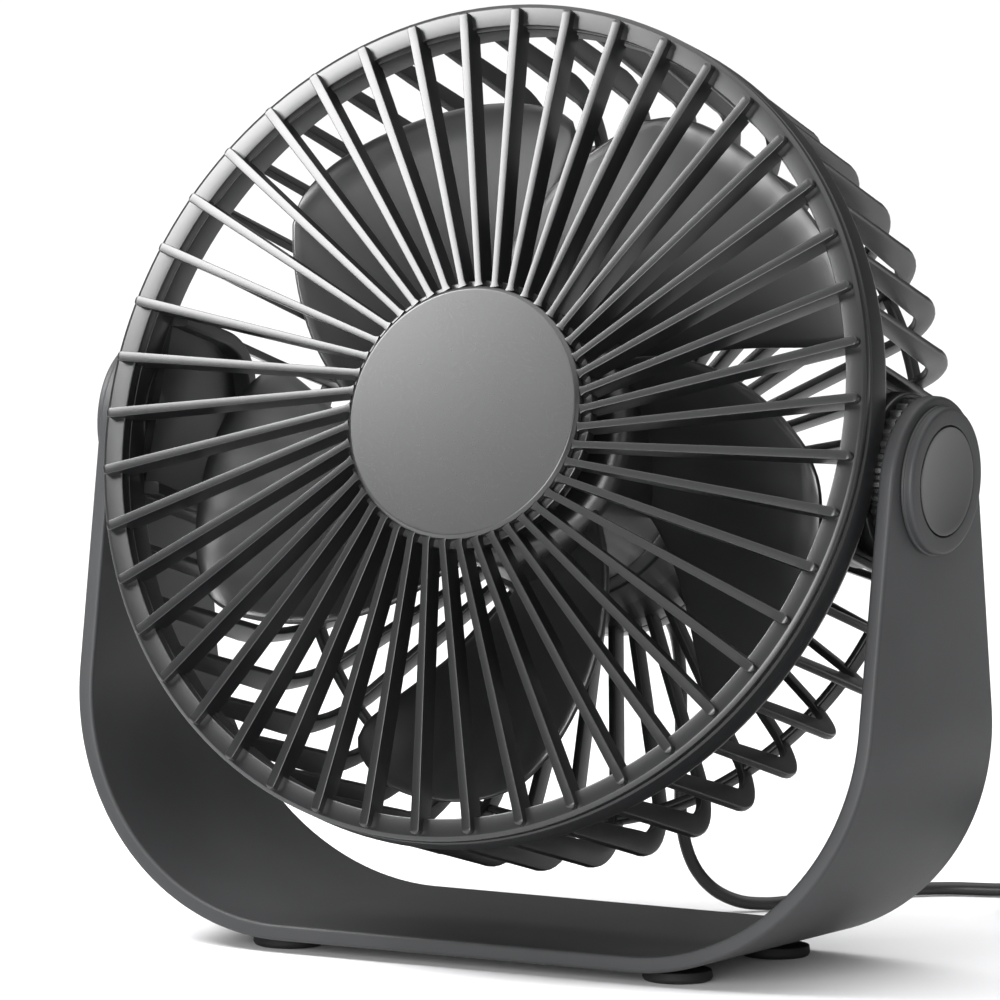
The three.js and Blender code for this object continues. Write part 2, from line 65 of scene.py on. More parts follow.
WORLD = Matrix.Scale(MM, 4)
FLOOR = -PIVOT.z / MM

# Camera: a very long lens, so the view is almost a parallel projection.
CAMERA = {"azimuth": 29.144, "elevation": 7.486, "roll": 0.575, "far": 5928, "right": -7.15, "up": -10.37}
LENS = 1080
SENSOR = 36

# Driving sizes, in millimetres and degrees
RING = {"outer": 84.6, "inner": 80, "lip": 80.1, "front": 23.7, "seam": 21.2, "rear": 14}
RIBS = {"count": 45, "thin": 1.45, "thick": 1.95, "root": 2.1, "knee": 80.6, "knee_front": 25.6, "end": 3.1,
        "disc_front": 31.4, "deep": 5, "disc_phase": 261.8, "ring_phase": 271.1}
DISC = {"radius": 25.6, "front": 32, "back": 29.7}
CAGE = {"ribs": 20, "first": 13, "thick": 1.5, "corner": (64, -17), "round": 17.5, "inner": (66, -20),
        "inner_round": 10}
# A cage rib's outer and inner edges before and after its corner, as pairs of (radius, z)
RIB_WALL = (((84.3, 15.2), (81.5, -17)), ((80.3, 15.2), (76, -20)))
RIB_REAR = (((64, -34.5), (28.4, -35.5)), ((66, -30), (28.4, -31)))
CAGE_BAND = {"inner": 68, "outer": 69.6, "back": -34.2, "front": -30.2}
PANEL = {"reach": 18.4, "skin": 82, "wall": 2, "rim": 2.6, "inside": 3.4, "lean": 0.075}
BOSS = {"radius": 16.8, "face": 83, "bore": 80.8, "screw": 2.3}
LAP = 0.4  # how far a shell runs into its neighbour
DETENT = {"teeth": 36, "radius": 16, "deep": 0.7, "inside": 83.35, "outside": 85.9, "edge": 0.25}
TOOTH = (0.05, 0.35, 0.55, 0.85)  # where a tooth's corners lie in its pitch: two in the gap, two on the tip
REAR = {"screws": (90, 210, 330), "screw_ring": 22.4, "screw": 2.4, "screw_seat": -41.2, "button": 6.3,
        "cord": 3.2, "cord_drop": 19, "lens": 1.5, "lens_up": 13, "groove": (9.2, 10.2), "groove_floor": -42.2}
HUB = {"radius": 26, "front": 12, "back": -14.3, "edge": 4, "wall": 1.8, "sleeve": 5.2, "bore": 1.3,
       "bore_end": 7.5}
BLADES = {"count": 5, "tip": 72.8, "square": 69, "thick": 1.3, "back": -8, "front": 10, "rise": 4, "camber": 2.2,
          "lead_drop": 5.7, "trail_drop": 8, "root_lap": 1.2, "edge": 0.5, "corner_power": 3}
# Angles of a blade's edges at the hub, and how they sweep towards the tip
EDGES = {"trail": 24.3, "trail_sweep": 24.6, "trail_power": 1.6, "lead": 110.4, "lead_sweep": 38.9}
STRIP = {"half": 89.6, "thick": 3.3, "corner": 50, "under": 2.5, "arm": 18, "drop": 1.5, "spread": 0.149,
         "edge": 0.8}
PIVOT_HOLE = 4.7  # radius, through the arms and the detent rings
PAST = 95  # a cutter's reach on both sides, past the caps
CAP = {"seat": 89.9, "bore": 7.4, "base": 14.8, "radius": 14.6, "well": 11, "floor": 90.9, "face": 92.2}
CAP_DISC = {"radius": 10.75, "back": 91.2, "middle": 91.55, "dished": 10.7, "dish": 80}
CORD_WIDE = 2.6
COIL = {"x": 74, "y": 104, "middle": 14.3, "lift": 1.1, "wide_turns": 4, "layers": 4, "climb": 0.3, "nest": 0.87}
TIE = {"wall": 0.7, "corner": 3}
PLUG = {"x": 104, "back": 100, "z": 4.1, "width": 15.5, "thick": 8, "body": 24, "taper": 9, "neck": 3.6,
        "corner": 1.5, "edge": 1.3}
# The plug's bend relief, as (distance behind the body, radius)
PLUG_RELIEF = [
    (-0.4, 2.5), (0, 2.6), (1.7, 2.6), (1.9, 2.1), (2.5, 2.1), (2.7, 2.5), (4.2, 2.45), (4.4, 2.0),
    (5, 2.0), (5.2, 2.2), (6, 2.1), (6.2, 1.9),
]
SOFT_EDGE = 0.12
FLOOR_HALF = 14  # metres

# Light: the world's brightness by the height of a direction,
# and the lamps as name, place, target, size and power
SKY = {"dark": 0.055, "edge": 0.5, "full": 0.95, "strength": 2.6}
LIGHTS = [
    ("key", (-0.272, -0.172, 0.342), (-0.151, 0.018, 0.233), (0.26, 0.19), 3.6),
    ("front", (0.3, -1.3, 0.25), (0, 0, 0.12), (1.0, 0.7), 28),
    ("right_side", (1.1, -0.25, 0.45), (0, 0, 0.1), (0.7, 0.5), 1.5),
]


# ---------------------------------------------------------------- mesh building
class Solid:
    """Points in millimetres and faces, which grow shell by shell and become one piece."""

    def __init__(self):
        self.points = []
        self.faces = []

    def add(self, points, faces):
        base = len(self.points)
        self.points += [Vector(p) for p in points]
        self.faces += [[i + base for i in f] for f in faces]
        return self

    def piece(self, name, matrix, material, body, slot, sharp=40):
        mesh = bpy.data.meshes.new(name)
        mesh.from_pydata([matrix @ p for p in self.points], [], self.faces)
        mesh.validate()
        for polygon in mesh.polygons:
            polygon.use_smooth = True
        mesh.set_sharp_from_angle(angle=math.radians(sharp))
        mesh.materials.append(material)
        obj = bpy.data.objects.new(name, mesh)
        bpy.context.scene.collection.objects.link(obj)
        if body:
            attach(obj, body)
        return obj


def loft(rings, closed=False):
    """Faces over rings of equal length; ends are capped unless the rings close on themselves."""
    count = len(rings[0])
    points = [p for ring in rings for p in ring]
    faces = []
    for a in range(len(rings) if closed else len(rings) - 1):
        b = (a + 1) % len(rings)
        for i in range(count):
            j = (i + 1) % count
            faces.append([a * count + i, a * count + j, b * count + j, b * count + i])
    if not closed:
        last = (len(rings) - 1) * count
        faces.append(list(range(count))[::-1])
        faces.append([last + i for i in range(count)])
    return points, faces


def arc(centre, radius, start, end, steps):
    """Points of an arc in a plane, angles in degrees."""
    out = []
    for i in range(steps + 1):
        a = math.radians(start + (end - start) * i / steps)
        out.append((centre[0] + radius * math.cos(a), centre[1] + radius * math.sin(a)))
    return out


def mix(start, end, t):
    """The point a share t of the way between two points of a plane."""
    return tuple(a + (b - a) * t for a, b in zip(start, end))


def polar(radius, degrees):
    """A point of a plane by its distance and angle."""
    return Vector((radius * math.cos(math.radians(degrees)), radius * math.sin(math.radians(degrees))))


def filleted(corners, steps=4, closed=True):
    """A line through (x, y) or (x, y, radius) corners, with an arc at each corner that has a radius."""
    out = []
    count = len(corners)
    for i, corner in enumerate(corners):
        radius = corner[2] if len(corner) > 2 else 0
        here = Vector(corner[:2])
        if not radius or (not closed and i in (0, count - 1)):
            out.append(tuple(here))
            continue
        before = Vector(corners[i - 1][:2]) - here
        after = Vector(corners[(i + 1) % count][:2]) - here
        half = before.angle(after) / 2
        reach = min(radius / math.tan(half), 0.49 * before.length, 0.49 * after.length)
        start, end = here + before.normalized() * reach, here + after.normalized() * reach
        for k in range(steps + 1):
            t = k / steps
            w = math.cos(half)
            a, b, c = (1 - t) ** 2, 2 * t * (1 - t) * w, t * t
            out.append(tuple((start * a + here * b + end * c) / (a + b + c)))
    return out


def lathe(profile, segments=96, matrix=Matrix.Identity(4)):
    """A solid of revolution about z from (radius, z) points, closed or starting and ending on the axis."""
    on_axis = abs(profile[0][0]) < 1e-6
    middle = profile[1:-1] if on_axis else profile
    rings = []
    for i in range(segments):
        a = 2 * math.pi * i / segments
        rings.append([(r * math.cos(a), r * math.sin(a), z) for r, z in middle])
    count = len(middle)
    points = [p for ring in rings for p in ring]
    faces = []
    for i in range(segments):
        j = (i + 1) % segments
        for k in range(count - 1 if on_axis else count):
            m = (k + 1) % count
            faces.append([i * count + k, j * count + k, j * count + m, i * count + m])
    if on_axis:
        points += [(0, 0, profile[0][1]), (0, 0, profile[-1][1])]
        first, last = len(points) - 2, len(points) - 1
        for i in range(segments):
            j = (i + 1) % segments
            faces.append([first, j * count, i * count])
            faces.append([last, i * count + count - 1, j * count + count - 1])
    return [matrix @ Vector(p) for p in points], faces


def prism(outline, low, high, edge=0.0, steps=3, matrix=Matrix.Identity(4)):
    """A flat outline pulled along z, with its edges rounded by edge at both faces.

    A rounded edge needs corners at least as round in the outline.
    """
    count = len(outline)
    normals = []
    for i in range(count):
        along = Vector(outline[(i + 1) % count]) - Vector(outline[i - 1])
        normals.append(Vector((along.y, -along.x)).normalized())
    levels = []
    if edge:
        for k in range(steps + 1):
            a = math.pi / 2 * k / steps
            levels.append((edge * (1 - math.sin(a)), low + edge * (1 - math.cos(a))))
        levels += [(inset, low + high - z) for inset, z in reversed(levels)]
    else:
        levels = [(0, low), (0, high)]
    rings = []
    for inset, z in levels:
        ring = [Vector(p) - normals[i] * inset for i, p in enumerate(outline)]
        rings.append([matrix @ Vector((p.x, p.y, z)) for p in ring])
    return loft(rings)


def turn_z(degrees):
    """A turn about z."""
    return Matrix.Rotation(math.radians(degrees), 4, "Z")


AS_MADE = Matrix.Identity(4)
ABOUT_X = Matrix.Rotation(math.radians(90), 4, "Y")  # takes z to x
MIRROR = turn_z(180)  # the other side of the head
SIDES = (("left", MIRROR), ("right", AS_MADE))


def rail(points, steps):
    """A smooth curve through the points, as a Catmull-Rom spline."""
    ends = [2 * points[0] - points[1], *points, 2 * points[-1] - points[-2]]
    out = []
    for i in range(1, len(ends) - 2):
        a, b, c, d = ends[i - 1:i + 3]
        for k in range(steps):
            t = k / steps
            tension = (c - a) * t + (2 * a - 5 * b + 4 * c - d) * t**2 + (3 * b - a - 3 * c + d) * t**3
            out.append(b + tension / 2)
    out.append(points[-1])
    return out


def tube(path, radius, sides=12):
    """A round tube along a path, with its rings' frame carried along it."""
    rings = []
    normal = None
    for i, point in enumerate(path):
        along = (path[min(i + 1, len(path) - 1)] - path[max(i - 1, 0)]).normalized()
        if normal is None:
            normal = along.orthogonal().normalized()
        normal = (normal - along * normal.dot(along)).normalized()
        side = along.cross(normal)
        ring = []
        for k in range(sides):
            a = 2 * math.pi * k / sides
            ring.append(point + radius * (normal * math.cos(a) + side * math.sin(a)))
        rings.append(ring)
    return loft(rings)


# ---------------------------------------------------------------- materials
CLOUDS = {"scale": 38, "detail": 3, "low": 0.3, "high": 0.7}  # slow changes of colour
GRAIN = {"detail": 4, "roughness": 0.6, "relief": 0.0004}


def grained(name, color, rough, spread=0.06, grain=0.35, bump=0.05, metal=0.0, specular=0.5, tint=0.12):
    """A moulded or machined surface: slow changes in colour, fine grain in the roughness and the bump."""
    material = bpy.data.materials.new(name)
    material.use_nodes = True
    nodes, links = material.node_tree.nodes, material.node_tree.links
    shader = nodes["Principled BSDF"]
    place = nodes.new("ShaderNodeTexCoord")
    shader.inputs["Metallic"].default_value = metal
    shader.inputs["Specular IOR Level"].default_value = specular

    slow = nodes.new("ShaderNodeTexNoise")
    slow.inputs["Scale"].default_value = CLOUDS["scale"]
    slow.inputs["Detail"].default_value = CLOUDS["detail"]
    links.new(place.outputs["Object"], slow.inputs["Vector"])

    ramp = nodes.new("ShaderNodeValToRGB")
    low, high = ramp.color_ramp.elements
    low.position, low.color = CLOUDS["low"], (*[c * (1 - tint) for c in color], 1)
    high.position, high.color = CLOUDS["high"], (*[c * (1 + tint) for c in color], 1)
    links.new(slow.outputs["Fac"], ramp.inputs["Fac"])
    links.new(ramp.outputs["Color"], shader.inputs["Base Color"])

    fine = nodes.new("ShaderNodeTexNoise")
    fine.inputs["Scale"].default_value = 1 / (grain * MM)
    fine.inputs["Detail"].default_value = GRAIN["detail"]
    fine.inputs["Roughness"].default_value = GRAIN["roughness"]
    links.new(place.outputs["Object"], fine.inputs["Vector"])

    level = nodes.new("ShaderNodeMapRange")
    level.inputs["To Min"].default_value = rough - spread
    level.inputs["To Max"].default_value = rough + spread
    links.new(fine.outputs["Fac"], level.inputs["Value"])
    links.new(level.outputs["Result"], shader.inputs["Roughness"])

    relief = nodes.new("ShaderNodeBump")
    relief.inputs["Strength"].default_value = bump
    relief.inputs["Distance"].default_value = GRAIN["relief"]
    links.new(fine.outputs["Fac"], relief.inputs["Height"])
    links.new(relief.outputs["Normal"], shader.inputs["Normal"])
    return material


def brushed(name, color, rough, stretch):
    """Metal whose grain is squeezed along one axis, so that it lies in fine lines across that axis."""
    material = grained(name, color, rough, spread=0.08, grain=0.25, bump=0.12, metal=1.0)
    nodes, links = material.node_tree.nodes, material.node_tree.links
    mapping = nodes.new("ShaderNodeMapping")
    mapping.inputs["Scale"].default_value = stretch
    place = nodes["Texture Coordinate"]
    fine = nodes["Noise Texture.001"]
    links.new(place.outputs["Object"], mapping.inputs["Vector"])
    links.new(mapping.outputs["Vector"], fine.inputs["Vector"])
    return material


LOOK = {
    "housing": grained("housing_plastic", (0.025, 0.0255, 0.0265), 0.5, grain=0.3, bump=0.08, specular=0.25),
    "grille": grained("grille_plastic", (0.005, 0.0052, 0.0056), 0.30, spread=0.02, grain=0.3, bump=0.006,
                      specular=0.55),
    "cage": grained("cage_plastic", (0.007, 0.0073, 0.0078), 0.36, grain=0.3, bump=0.07, specular=0.4),
    "disc": grained("disc_plastic", (0.010, 0.0102, 0.0106), 0.28, spread=0.02, grain=0.22, bump=0.006,
                    specular=0.66),
    "cap": grained("cap_plastic", (0.016, 0.0163, 0.017), 0.36, grain=0.22, bump=0.03, specular=0.5),
    "blade": grained("blade_plastic", (0.008, 0.0082, 0.0086), 0.33, spread=0.03, grain=0.5, bump=0.01,
                     specular=0.85),
    "rubber": grained("rubber_black", (0.006, 0.006, 0.0065), 0.7, grain=0.4, bump=0.2, specular=0.3),
    "cord": grained("cord_jacket", (0.004, 0.004, 0.0044), 0.4, grain=0.5, bump=0.05, specular=0.4),
    "button": grained("button_plastic", (0.022, 0.022, 0.024), 0.3, grain=0.3, bump=0.05),
    "steel": brushed("steel", (0.62, 0.63, 0.65), 0.27, (1, 12, 1)),
    "brass": brushed("brass", (0.72, 0.53, 0.25), 0.3, (1, 8, 1)),
    "magnet": grained("ferrite", (0.08, 0.08, 0.085), 0.6, bump=0.3),
    "core": brushed("laminations", (0.42, 0.26, 0.15), 0.45, (1, 1, 10)),
    "board": grained("solder_mask", (0.02, 0.12, 0.05), 0.35, bump=0.08),
    "lens": grained("lens_frosted", (0.75, 0.82, 0.9), 0.25, bump=0.05),
    "insulator": grained("insulator_white", (0.78, 0.78, 0.75), 0.42, bump=0.06, tint=0.04),
}


# ---------------------------------------------------------------- camera
def make_camera():
    """The photograph's view: turned to the fan's right, a little from above, with a slight roll."""
    azimuth, elevation, roll = (math.radians(CAMERA[k]) for k in ("azimuth", "elevation", "roll"))
    level = math.cos(elevation)
    forward = Vector((-math.sin(azimuth) * level, math.cos(azimuth) * level, -math.sin(elevation)))
    right = Vector((math.cos(azimuth), math.sin(azimuth), 0))
    up = right.cross(forward)
    side = math.cos(roll) * right + math.sin(roll) * up
    top = -math.sin(roll) * right + math.cos(roll) * up
    place = PIVOT + MM * (CAMERA["right"] * right + CAMERA["up"] * up - CAMERA["far"] * forward)
    data = bpy.data.cameras.new("camera")
    data.lens = LENS
    data.sensor_width = SENSOR
    data.clip_start, data.clip_end = 0.1, 100
    camera = bpy.data.objects.new("camera", data)
    bpy.context.scene.collection.objects.link(camera)
    camera.matrix_world = Matrix.Translation(place) @ Matrix((side, top, -forward)).transposed().to_4x4()
    bpy.context.scene.camera = camera


# ---------------------------------------------------------------- cord, coil and plug
CORD_LIE = CORD_WIDE / 2 + 0.1  # height of the cord's middle where it lies on the table
# The cord from its exit to the coil, then from the coil to the plug: listed points
ROUTE = [
    (0, 44.8, 64), (0, 50.5, 61.4), (0, 55, 56.4), (0, 57.2, 48), (0, 57.6, 38), (0, 57.6, 28),
    (0.2, 58, 18), (1.6, 59.8, 10.2), (4.6, 62.4, 5), (8.8, 65.6, 2.2),
    (13, 69.8, CORD_LIE), (16.2, 76, CORD_LIE), (19, 84, CORD_LIE), (22.4, 94, CORD_LIE),
    (27, 102.6, CORD_LIE), (34, 109, CORD_LIE), (43.7, 113, CORD_LIE),
    (52, 117, CORD_LIE + 0.4), (60.2, 120.8, CORD_LIE + 1), (67.2, 122.4, CORD_LIE + 1),
]
TAIL = [
    (81, 121.5, 9.2), (88.5, 121.6, 8.6), (94.6, 119.8, 7), (99.8, 115.8, 5.6), (103, 111, 4.6),
    (PLUG["x"], 105.9, PLUG["z"]),
]
TURN_POINTS = 40
SPAN_POINTS = 6


def coil_points():
    """Turns wound in layers: each lies a diameter from the next, and a layer rests in the grooves below.

    In the last part of a turn the cord moves over to the next one.
    """
    turns = []
    for layer in range(COIL["layers"]):
        inset = layer % 2
        count = COIL["wide_turns"] - inset
        radii = [COIL["middle"] + (count - 1 - 2 * i) / 2 * CORD_WIDE for i in range(count)]
        if inset:
            radii.reverse()
        height = COIL["lift"] + CORD_WIDE / 2 + layer * COIL["nest"] * CORD_WIDE
        turns += [(radius, height) for radius in radii]
    turns.append(turns[-1])
    out = []
    for (radius, height), (next_radius, next_height) in zip(turns, turns[1:]):
        for k in range(TURN_POINTS):
            t = k / TURN_POINTS
            s = min(1, max(0, (t - (1 - COIL["climb"])) / COIL["climb"]))
            s = s * s * (3 - 2 * s)
            r = radius + (next_radius - radius) * s
            a = math.radians(90 - 360 * t)
            z = height + (next_height - height) * s
            out.append(Vector((COIL["x"] + r * math.cos(a), COIL["y"] + r * math.sin(a), z)))
    return out


def make_cord():
    """The whole cord as one piece, and its path in metres."""
    lead = rail([Vector(p) for p in ROUTE], SPAN_POINTS)[:-1]
    path = lead + coil_points() + rail([Vector(p) for p in TAIL], SPAN_POINTS)
    solid = Solid().add(*tube(path, CORD_WIDE / 2))
    cord = solid.piece("usb_cord", WORLD, LOOK["cord"], None, "cord", sharp=80)
    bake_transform(cord)
    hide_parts("cord_lead", "cord", "cord_coil", "cord_tail")
    return cord, [tuple(p * MM) for p in path]


def make_tie():
    """The strap round one side of the coil."""
    low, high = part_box("coil_tie")
    middle, size = (low + high) / 2, (high - low) / MM
    right, half, top = size / 2
    corner, wall = TIE["corner"], TIE["wall"]
    outer = filleted([(-right, -top, corner), (right, -top, corner), (right, top, corner), (-right, top, corner)], 5)
    inner = [(x * (1 - wall / right), z * (1 - wall / top)) for x, z in outer]
    rings = []
    for (ox, oz), (ix, iz) in zip(outer, inner):
        rings.append([(ox, -half, oz), (ox, half, oz), (ix, half, iz), (ix, -half, iz)])
    solid = Solid().add(*loft(rings, closed=True))
    tie = solid.piece("coil_tie_strap", Matrix.Translation(middle) @ WORLD, LOOK["rubber"], "stand", "rubber", 35)
    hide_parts("coil_tie")
    return tie


def make_plug_body():
    """The plug's moulded body, tapered towards the cord, with its ringed bend relief."""
    half, thick, back = PLUG["width"] / 2, PLUG["thick"], PLUG["back"]
    corner, neck = PLUG["corner"], PLUG["neck"]
    front, taper = back - PLUG["body"], back - PLUG["taper"]
    outline = filleted([
        (-half, front, corner), (half, front, corner), (half, taper, 5),
        (neck, back, corner), (-neck, back, corner), (-half, taper, 5),
    ], 6)
    solid = Solid().add(*prism(outline, -thick / 2, thick / 2, PLUG["edge"], 5))
    rings = []
    for y, radius in PLUG_RELIEF:
        circle = [polar(radius, 360 * k / 24) for k in range(24)]
        rings.append([(x, back + y, z) for x, z in circle[::-1]])
    solid.add(*loft(rings))
    place = Matrix.Translation(Vector((PLUG["x"], 0, PLUG["z"])) * MM) @ WORLD
    body = solid.piece("plug_body", place, LOOK["rubber"], "stand", "rubber", 35)
    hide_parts("plug_overmould")
    return body


def carve(obj, cutter, matrix):
    """Takes the cutter's solid out of the piece, which must be a single shell."""
    tool = cutter.piece("cutter", matrix, obj.data.materials[0], None, None)
    modifier = obj.modifiers.new("carve", "BOOLEAN")
    modifier.operation = "DIFFERENCE"
    modifier.solver = "EXACT"
    modifier.object = tool
    graph = bpy.context.evaluated_depsgraph_get()
    mesh = bpy.data.meshes.new_from_object(obj.evaluated_get(graph))
    obj.modifiers.remove(modifier)
    obj.data = mesh
    mesh.set_sharp_from_angle(angle=math.radians(35))
    bpy.data.objects.remove(tool)


def pivot_hole():
    """A cutter along the pivots' axis, through everything."""
    return Solid().add(*lathe([(0, -PAST), (PIVOT_HOLE, -PAST), (PIVOT_HOLE, PAST), (0, PAST)], 32, ABOUT_X))


# ---------------------------------------------------------------- stand
def arm_end():
    """Radius of the arm's round end, which runs into the arm's sloping sides, and the height of its top."""
    radius = (STRIP["arm"] + STRIP["spread"] * STRIP["drop"]) / math.hypot(1, STRIP["spread"])
    return radius, radius - STRIP["drop"]


def strip_line():
    """The strip's middle line from the front, by the length from the right arm's top; then its parts' lengths."""
    thick, corner, half = STRIP["thick"], STRIP["corner"], STRIP["half"]
    radius = corner - thick / 2
    low = FLOOR + STRIP["under"] + corner
    top = arm_end()[1]
    arm = top - low
    bend = radius * math.pi / 2
    whole = 2 * (arm + bend) + 2 * (half - corner)

    def at(s):
        side = 1
        if s > whole / 2:
            s, side = whole - s, -1
        if s < arm:
            place, out = (half - thick / 2, top - s), (1, 0)
        elif s < arm + bend:
            a = (s - arm) / radius
            out = (math.cos(a), -math.sin(a))
            place = (half - corner + radius * out[0], low + radius * out[1])
        else:
            place, out = (half - corner - (s - arm - bend), low - radius), (0, -1)
        return Vector((side * place[0], place[1])), Vector((side * out[0], out[1]))

    return at, arm, bend, whole


STRIP_STEPS = {"end": 24, "arm": 12, "bend": 40, "base": 6, "edge": 4}


def strip_outline():
    """The flat strip's outline as (length along it, offset across it), and how many points make one side."""
    at, arm, bend, whole = strip_line()
    slope = math.atan(STRIP["spread"])
    end = arm_end()[0]
    stations = []
    for k in range(STRIP_STEPS["end"] + 1):
        a = math.pi / 2 + (slope - math.pi / 2) * (1 - math.cos(math.pi / 2 * k / STRIP_STEPS["end"]))
        stations.append((end - end * math.sin(a), end * math.cos(a)))
    parts = (("arm", stations[-1][0], arm), ("bend", arm, arm + bend), ("base", arm + bend, whole / 2))
    for part, start, stop in parts:
        steps = STRIP_STEPS[part]
        for s in (start + (stop - start) * k / steps for k in range(1, steps + 1)):
            stations.append((s, STRIP["arm"] - STRIP["spread"] * at(s)[0].y))
    half_loop = stations + [(whole - s, w) for s, w in reversed(stations[:-1])]
    return half_loop + [(s, -w) for s, w in reversed(half_loop[1:-1])], len(half_loop)


def make_stand():
    """The bent strip: its rounded edge runs round the outline, and its two faces span from side to side."""
    at, _, _, whole = strip_line()
    outline, side = strip_outline()
    count = len(outline)
    edge, thick, steps = STRIP["edge"], STRIP["thick"], STRIP_STEPS["edge"]
    profile = [(edge * (1 - math.sin(a)), thick / 2 - edge * (1 - math.cos(a)))
               for a in (math.pi / 2 * k / steps for k in range(steps + 1))]
    profile += [(inset, -h) for inset, h in reversed(profile)]
    rings = []
    for j, (s, y) in enumerate(outline):
        along = Vector(outline[(j + 1) % count]) - Vector(outline[j - 1])
        normal = Vector((-along.y, along.x)).normalized()
        ring = []
        for inset, height in profile:
            s_in, y_in = s - inset * normal.x, y - inset * normal.y
            middle, out = at(min(max(s_in, 0.0), whole))
            ring.append((middle.x + out.x * height, y_in, middle.y + out.y * height))
        rings.append(ring)
    size = len(profile)
    points = [p for ring in rings for p in ring]
    faces = []
    for j in range(count):
        n = (j + 1) % count
        for k in range(size - 1):
            faces.append([j * size + k, j * size + k + 1, n * size + k + 1, n * size + k])
    for i in range(side - 1):
        left, right = (count - i) % count, (count - i - 1) % count
        for k, flip in ((0, False), (size - 1, True)):
            face = [i * size + k, (i + 1) * size + k, right * size + k, left * size + k]
            face = [v for n, v in enumerate(face) if v not in face[:n]]
            faces.append(face[::-1] if flip else face)
    stand = Solid().add(points, faces)
    obj = stand.piece("stand_strip", STAND, LOOK["housing"], "stand", "housing", 35)
    carve(obj, pivot_hole(), STAND)
    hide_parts("stand_bracket")


def make_feet():
    """Four round pads, rounded at the floor and a little narrower at the top."""
    for name in ("foot_front_left", "foot_front_right", "foot_rear_left", "foot_rear_right"):
        low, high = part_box(name)
        middle = (low + high) / 2
        radius, tall = (high.x - low.x) / 2 / MM, (high.z - low.z) / MM
        profile = filleted([
            (0, 0), (radius - 0.5, 0, 0.5), (radius, 0.7, 0.4), (radius - 0.2, tall, 0.2), (0, tall),
        ], 4, closed=False)
        place = Matrix.Translation((middle.x, middle.y, low.z)) @ WORLD
        foot = Solid().add(*lathe(profile, 48)).piece(name + "_pad", place, LOOK["rubber"], "stand", "rubber")
        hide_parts(name)


def make_caps():
    """The pivot caps: a ring on the arm, with a slightly dished disc in it."""
    bore, base, radius, well = CAP["bore"], CAP["base"], CAP["radius"], CAP["well"]
    seat, floor, face = CAP["seat"], CAP["floor"], CAP["face"]
    ring = filleted([
        (bore, seat), (base, seat), (base, seat + 0.4, 0.15), (radius - 0.1, seat + 0.55, 0.15),
        (radius, face, 0.9), (well + 0.05, face, 0.25), (well, floor), (bore, floor),
    ], 6)
    wide, back, middle, dish = CAP_DISC["radius"], CAP_DISC["back"], CAP_DISC["middle"], CAP_DISC["dish"]
    hollow = arc((0, middle + dish), dish, -90, -90 + math.degrees(CAP_DISC["dished"] / dish), 12)
    button = filleted([(0, back), (wide, back), (wide, hollow[-1][1], 0.12), *hollow[-2::-1]], 5, closed=False)
    for side, turn in SIDES:
        cap = Solid().add(*lathe(ring, 120, turn @ ABOUT_X))
        cap = cap.piece(f"pivot_cap_{side}_ring", STAND, LOOK["housing"], "stand", "housing", 35)
        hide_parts(f"pivot_cap_{side}")
        disc = Solid().add(*lathe(button, 120, turn @ ABOUT_X))
        disc = disc.piece(f"cap_disc_{side}_face", STAND, LOOK["cap"], "stand", "housing", 35)
        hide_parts(f"cap_disc_{side}")


# ---------------------------------------------------------------- head
def front_ring():
    """The grille's ring, with a fine groove where it meets the cage's ring."""
    lip, outer, front, seam = RING["lip"], RING["outer"], RING["front"], RING["seam"]
    return lathe(filleted([
        (lip, seam), (outer - 0.5, seam, 0.15), (outer - 0.5, seam + 0.35, 0.15), (outer, seam + 0.5, 0.1),
        (outer, front - 0.5, 0.35), (outer - 0.8, front, 0.35), (lip, front, 0.25),
    ], 4), 180)


def front_rib(turn):
    """One rib from the disc to the ring: it leans off the radius and ends in a rounded drop on the ring."""
    begin = polar(DISC["radius"] + 0.03, RIBS["disc_phase"] + turn)
    knee = polar(RIBS["knee"], RIBS["ring_phase"] + turn)
    along = (knee - begin).normalized()
    across = Vector((-along.y, along.x))
    length = (knee - begin).length
    thin, thick, high, deep = RIBS["thin"], RIBS["thick"], RIBS["knee_front"], RIBS["deep"]
    seat, flat = RING["seam"] + 0.5, length + RIBS["end"] - thick / 2
    flare, flared, step = 0.6, thin + 0.2, length - 1.25
    # Stations along the rib, as (distance, width, front)
    stations = [(0, RIBS["root"], RIBS["disc_front"])]
    for s in (flare, 1.2, 8, 20, 32, 44, step - 0.05, step + 0.05, length):
        width = flared if s == flare else thin + (thick - thin) * s / length
        stations.append((s, width, RIBS["disc_front"] + (high - RIBS["disc_front"]) * s / length))
    tip = high - 0.1
    stations.append((flat, thick, tip))
    for a in (math.pi / 2 * k / 7 for k in range(1, 8)):
        width = thick * max(0.12, math.cos(a))
        stations.append((flat + thick / 2 * math.sin(a), width, tip - 0.5 * (1 - math.cos(a))))
    rings = []
    for s, width, front in stations:
        back = seat if s > step else front - deep
        edge = min(0.16, width / 2 - 0.02, (front - back) / 3)
        section = filleted([(-width / 2, back), (width / 2, back), (width / 2, front, edge),
                            (-width / 2, front, edge)], 4)
        rings.append([(*(begin + along * s + across * u), z) for u, z in section][::-1])
    return loft(rings)


